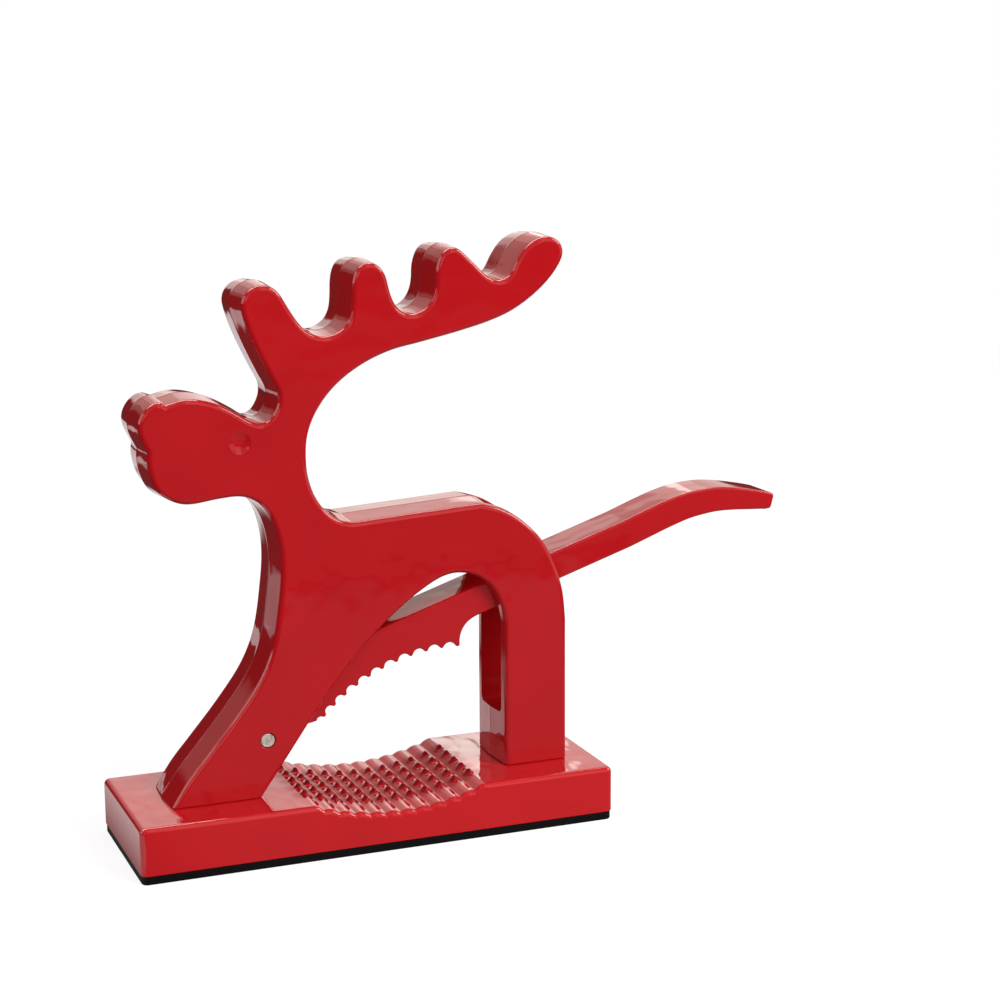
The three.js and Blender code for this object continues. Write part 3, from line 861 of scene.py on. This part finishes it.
class Wiring:
    """A shader node tree under construction."""

    def __init__(self, tree):
        self.tree = tree

    def add(self, kind, **values):
        node = self.tree.nodes.new(kind)
        for key, value in values.items():
            if key in node.inputs:
                node.inputs[key].default_value = value
            else:
                setattr(node, key, value)
        return node

    def link(self, source, target):
        self.tree.links.new(source, target)

    def math(self, operation, *values, **options):
        node = self.add("ShaderNodeMath", operation=operation, **options)
        for socket, value in zip(node.inputs, values):
            if isinstance(value, (int, float)):
                socket.default_value = value
            else:
                self.link(value, socket)
        return node.outputs[0]

    def step(self, value, start, end):
        """Eases from 0 to 1 as the value goes from start to end."""
        node = self.add("ShaderNodeMapRange", interpolation_type="SMOOTHSTEP")
        node.inputs["From Min"].default_value = start
        node.inputs["From Max"].default_value = end
        self.link(value, node.inputs["Value"])
        return node.outputs["Result"]

    def noise(self, scale, detail, stretch=(1, 1, 1), **values):
        place = self.add("ShaderNodeTexCoord")
        mapping = self.add("ShaderNodeMapping", Scale=stretch)
        noise = self.add("ShaderNodeTexNoise", Scale=scale, Detail=detail, **values)
        self.link(place.outputs["Object"], mapping.inputs["Vector"])
        self.link(mapping.outputs["Vector"], noise.inputs["Vector"])
        return noise.outputs["Fac"]

    def colors(self, value, *stops):
        """A colour ramp over the value, from stops of position and linear colour."""
        ramp = self.add("ShaderNodeValToRGB")
        elements = ramp.color_ramp.elements
        while len(elements) < len(stops):
            elements.new(1)
        for element, (position, color) in zip(elements, stops):
            element.position = position
            element.color = (*color, 1)
        self.link(value, ramp.inputs["Fac"])
        return ramp.outputs["Color"]

    def product(self, first, second):
        """Two colours multiplied."""
        mix = self.add("ShaderNodeMix", data_type="RGBA", blend_type="MULTIPLY")
        mix.inputs["Factor"].default_value = 1
        first_socket, second_socket = (socket for socket in mix.inputs if socket.type == "RGBA")
        self.link(first, first_socket)
        self.link(second, second_socket)
        return next(socket for socket in mix.outputs if socket.type == "RGBA")

    def bump(self, height, distance, before=None):
        """A bump of the height times the distance, over another bump if one is given."""
        bump = self.add("ShaderNodeBump", Strength=1.0, Distance=distance)
        self.link(height, bump.inputs["Height"])
        if before:
            self.link(before, bump.inputs["Normal"])
        return bump.outputs["Normal"]


def greys(stops):
    """Stops of a colour ramp from stops of position and level."""
    return [(position, (level, level, level)) for position, level in stops]


def new_material(name, **values):
    """A material and its wiring, with constant values set on its shader."""
    material = bpy.data.materials.new(name)
    material.use_nodes = True
    wiring = Wiring(material.node_tree)
    shader = material.node_tree.nodes["Principled BSDF"]
    for key, value in values.items():
        shader.inputs[key.replace("_", " ")].default_value = value
    return material, wiring, shader


def enamel_coat_with_painted_light(wiring, near_stud, painted_light_factor):
    """The enamel's colour, which drifts a little over the surface, is scaled by a painted light factor and
    is darkened with painted shade on and around the studs.
    """
    drift = wiring.noise(scale=38.0, detail=2.0)
    deep = [painted_light_factor * (1 - enamel_drift) * part for part in enamel_color]
    bright = [painted_light_factor * (1 + enamel_drift) * part for part in enamel_color]
    coat = wiring.colors(drift, (0.3, deep), (0.75, bright))
    # Painted shade: the colour is darkened on and around the studs
    return wiring.product(coat, wiring.colors(near_stud, *greys(stud_painted_shades)))


def enamel_normal(wiring, wave_height, top_wave_height):
    """Broad waves left by the casting, and tighter ones on level tops where the enamel ran."""
    normal = wiring.bump(wiring.noise(scale=95.0, detail=1.0), wave_height)
    if top_wave_height:
        turn = wiring.add("ShaderNodeSeparateXYZ")
        wiring.link(wiring.add("ShaderNodeNewGeometry").outputs["True Normal"], turn.inputs[0])
        level = wiring.step(turn.outputs["Z"], 0.97, 0.995)
        runs = wiring.noise(scale=130.0, detail=1.0, stretch=(1, 0.6, 1), Distortion=0.4)
        normal = wiring.bump(wiring.math("MULTIPLY", runs, level), top_wave_height, normal)
    return normal


def enamel(name, wave_height, top_wave_height=0, painted_light_factor=1):
    """Glossy red enamel, with painted shade on and around the studs, where it is also less glossy."""
    material, wiring, shader = new_material(name, Roughness=enamel_roughness, IOR=1.5)
    near_stud = wiring.add("ShaderNodeAttribute", attribute_name="near_stud").outputs["Fac"]
    wiring.link(enamel_coat_with_painted_light(wiring, near_stud, painted_light_factor), shader.inputs["Base Color"])
    wiring.link(wiring.colors(near_stud, *greys(stud_gloss)), shader.inputs["Specular IOR Level"])
    wiring.link(enamel_normal(wiring, wave_height, top_wave_height), shader.inputs["Normal"])
    return material


def rubber():
    material, wiring, shader = new_material("black_rubber", Roughness=0.7, IOR=1.45, Specular_IOR_Level=0.3)
    grain = wiring.noise(scale=2600.0, detail=3.0)
    color = wiring.colors(grain, (0.3, (0.0012, 0.001, 0.001)), (0.8, (0.0035, 0.003, 0.003)))
    wiring.link(color, shader.inputs["Base Color"])
    wiring.link(wiring.bump(grain, 0.00004), shader.inputs["Normal"])
    return material


def metal(name, stops, roughness, metallic, grain_scale, grain_height):
    """Bare metal whose colour and surface vary with one grain."""
    material, wiring, shader = new_material(name, Roughness=roughness, Metallic=metallic)
    marks = wiring.noise(scale=grain_scale, detail=4.0, Roughness=0.7)
    wiring.link(wiring.colors(marks, *stops), shader.inputs["Base Color"])
    wiring.link(wiring.bump(marks, grain_height), shader.inputs["Normal"])
    return material


def pin_steel():
    stops = [(0.36, (0.42, 0.35, 0.28)), (0.47, (0.8, 0.72, 0.62)), (0.6, (0.93, 0.86, 0.76))]
    return metal("pin_steel", stops, roughness=0.32, metallic=0.55, grain_scale=700.0, grain_height=0.00008)


def zinc_steel():
    stops = [(0.35, (0.45, 0.46, 0.47)), (0.62, (0.72, 0.73, 0.75))]
    return metal("zinc_steel", stops, roughness=0.35, metallic=1, grain_scale=1500.0, grain_height=0.00003)


def nylon():
    material, wiring, shader = new_material("natural_nylon", Roughness=0.45)
    drift = wiring.noise(scale=300.0, detail=2.0)
    color = wiring.colors(drift, (0, (0.74, 0.71, 0.62)), (1, (0.84, 0.82, 0.74)))
    wiring.link(color, shader.inputs["Base Color"])
    return material


def give(piece, material, body, node):
    """Finishes a piece and lets it stand for a node of the body."""
    piece.data.materials.clear()
    piece.data.materials.append(material)
    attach(piece, body)
    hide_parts(node)


# Studio

def make_camera():
    data = bpy.data.cameras.new("camera")
    data.lens = camera_lens
    data.sensor_width = sensor_width
    data.clip_start = 0.01
    camera = bpy.data.objects.new("camera", data)
    bpy.context.scene.collection.objects.link(camera)
    forward = Vector((
        math.sin(camera_yaw) * math.cos(camera_pitch),
        math.cos(camera_yaw) * math.cos(camera_pitch),
        -math.sin(camera_pitch),
    ))
    level = Vector((math.cos(camera_yaw), -math.sin(camera_yaw), 0))
    upward = level.cross(forward)
    c, s = math.cos(camera_roll), math.sin(camera_roll)
    turn = Matrix((c * level + s * upward, c * upward - s * level, -forward)).transposed().to_4x4()
    camera.matrix_world = Matrix.Translation(camera_place) @ turn
    bpy.context.scene.camera = camera


def make_lamp(name, place, target, size, power):
    """A soft lamp that the enamel doesn't mirror, because the studio's panels stand for it there."""
    data = bpy.data.lights.new(name, "AREA")
    data.shape = "RECTANGLE"
    data.size, data.size_y = size
    data.energy = power
    lamp = bpy.data.objects.new(name, data)
    bpy.context.scene.collection.objects.link(lamp)
    lamp.location = place
    lamp.rotation_mode = "QUATERNION"
    lamp.rotation_quaternion = (Vector(target) - Vector(place)).to_track_quat("-Z", "Y")
    lamp.visible_glossy = False


def brightest(wiring, across, up, panels, rest):
    """The level of the brightest panel at two coordinates, each eased off at its sides."""
    level = rest
    for low_u, high_u, low_v, high_v, soft, strength in panels:
        inside = wiring.math("MULTIPLY", strength, wiring.step(across, low_u - soft / 2, low_u + soft / 2))
        inside = wiring.math("MULTIPLY", inside, wiring.step(across, high_u + soft / 2, high_u - soft / 2))
        inside = wiring.math("MULTIPLY", inside, wiring.step(up, low_v - soft / 2, low_v + soft / 2))
        inside = wiring.math("MULTIPLY", inside, wiring.step(up, high_v + soft / 2, high_v - soft / 2))
        level = wiring.math("MAXIMUM", level, inside)
    return level


def ray_kinds(wiring):
    rays = wiring.add("ShaderNodeLightPath")
    shiny = wiring.math("MAXIMUM", rays.outputs["Is Glossy Ray"], rays.outputs["Is Transmission Ray"])
    return rays.outputs["Is Camera Ray"], shiny


def make_world(ambient):
    world = bpy.data.worlds.new("studio")
    bpy.context.scene.world = world
    world.use_nodes = True
    wiring = Wiring(world.node_tree)
    world.node_tree.nodes.clear()
    direction = wiring.add("ShaderNodeSeparateXYZ")
    wiring.link(wiring.add("ShaderNodeTexCoord").outputs["Generated"], direction.inputs[0])
    azimuth = wiring.math("ARCTAN2", direction.outputs["X"], direction.outputs["Y"])
    azimuth = wiring.math("DEGREES", azimuth)
    elevation = wiring.math("DEGREES", wiring.math("ARCSINE", direction.outputs["Z"]))
    seen, shiny = ray_kinds(wiring)
    studio = brightest(wiring, azimuth, elevation, mirrored_panels, mirrored_rest)
    mirrored = wiring.math("MULTIPLY", shiny, studio)
    other = wiring.math("SUBTRACT", 1.0, wiring.math("MAXIMUM", shiny, seen))
    level = wiring.math("ADD", wiring.math("ADD", mirrored, seen), wiring.math("MULTIPLY", other, ambient))
    background = wiring.add("ShaderNodeBackground")
    wiring.link(wiring.colors(shiny, (0, (1, 1, 1)), (1, mirror_tint)), background.inputs["Color"])
    wiring.link(level, background.inputs["Strength"])
    wiring.link(background.outputs[0], wiring.add("ShaderNodeOutputWorld").inputs["Surface"])


def make_floor():
    """A white table top that keeps a light shadow, and that the enamel mirrors as the studio's table."""
    low_x, low_y = floor_low
    high_x, high_y = floor_high
    corners = [(low_x, low_y, 0), (high_x, low_y, 0), (high_x, high_y, 0), (low_x, high_y, 0)]
    floor = make_object("floor", corners, [(0, 1, 2, 3)])
    material = bpy.data.materials.new("floor")
    material.use_nodes = True
    material.node_tree.nodes.clear()
    wiring = Wiring(material.node_tree)
    place = wiring.add("ShaderNodeSeparateXYZ")
    wiring.link(wiring.add("ShaderNodeTexCoord").outputs["Object"], place.inputs[0])
    seen, shiny = ray_kinds(wiring)
    table = brightest(wiring, place.outputs["X"], place.outputs["Y"], mirrored_table, mirrored_table_rest)
    glow = wiring.add("ShaderNodeEmission")
    glow_seen = wiring.math("MULTIPLY", seen, floor_glow)
    glow_mirrored = wiring.math("MULTIPLY", shiny, table)
    wiring.link(wiring.math("ADD", glow_seen, glow_mirrored), glow.inputs["Strength"])
    shade = wiring.add("ShaderNodeBsdfDiffuse")
    other = wiring.math("SUBTRACT", 1.0, wiring.math("MAXIMUM", shiny, seen))
    albedo_seen = wiring.math("MULTIPLY", seen, floor_albedo)
    albedo_other = wiring.math("MULTIPLY", other, floor_bounce)
    wiring.link(wiring.math("ADD", albedo_seen, albedo_other), shade.inputs["Color"])
    both = wiring.add("ShaderNodeAddShader")
    wiring.link(glow.outputs[0], both.inputs[0])
    wiring.link(shade.outputs[0], both.inputs[1])
    wiring.link(both.outputs[0], wiring.add("ShaderNodeOutputMaterial").inputs["Surface"])
    floor.data.materials.append(material)


make_camera()
make_world(ambient_level)
make_floor()
make_lamp("key", *key_lamp)
make_lamp("fill", *fill_lamp)
bpy.context.scene.view_settings.view_transform = "Standard"

give(make_pad(), rubber(), "stand", "non_slip_pad")
# The base gets a lighter copy of the figure's enamel, painted light for the stronger light on it
base_enamel_painted_lighter = enamel("base_enamel_painted_lighter", base_wave_height, base_top_wave_height, base_painted_light_factor)
give(make_base(), base_enamel_painted_lighter, "stand", "base_casting")
figure_enamel = enamel("figure_enamel", figure_wave_height)
give(make_figure(), figure_enamel, "stand", "figure_casting")
give(make_lever(), figure_enamel, "lever", "lever")
give(make_pin(), pin_steel(), "stand", "pivot_pin")
plain_finishes = {"washer": nylon(), "screw": zinc_steel()}
for name, node in frame["nodes"].items():
    for word, material in plain_finishes.items():
        if word in name:
            node.data.materials.clear()
            node.data.materials.append(material)
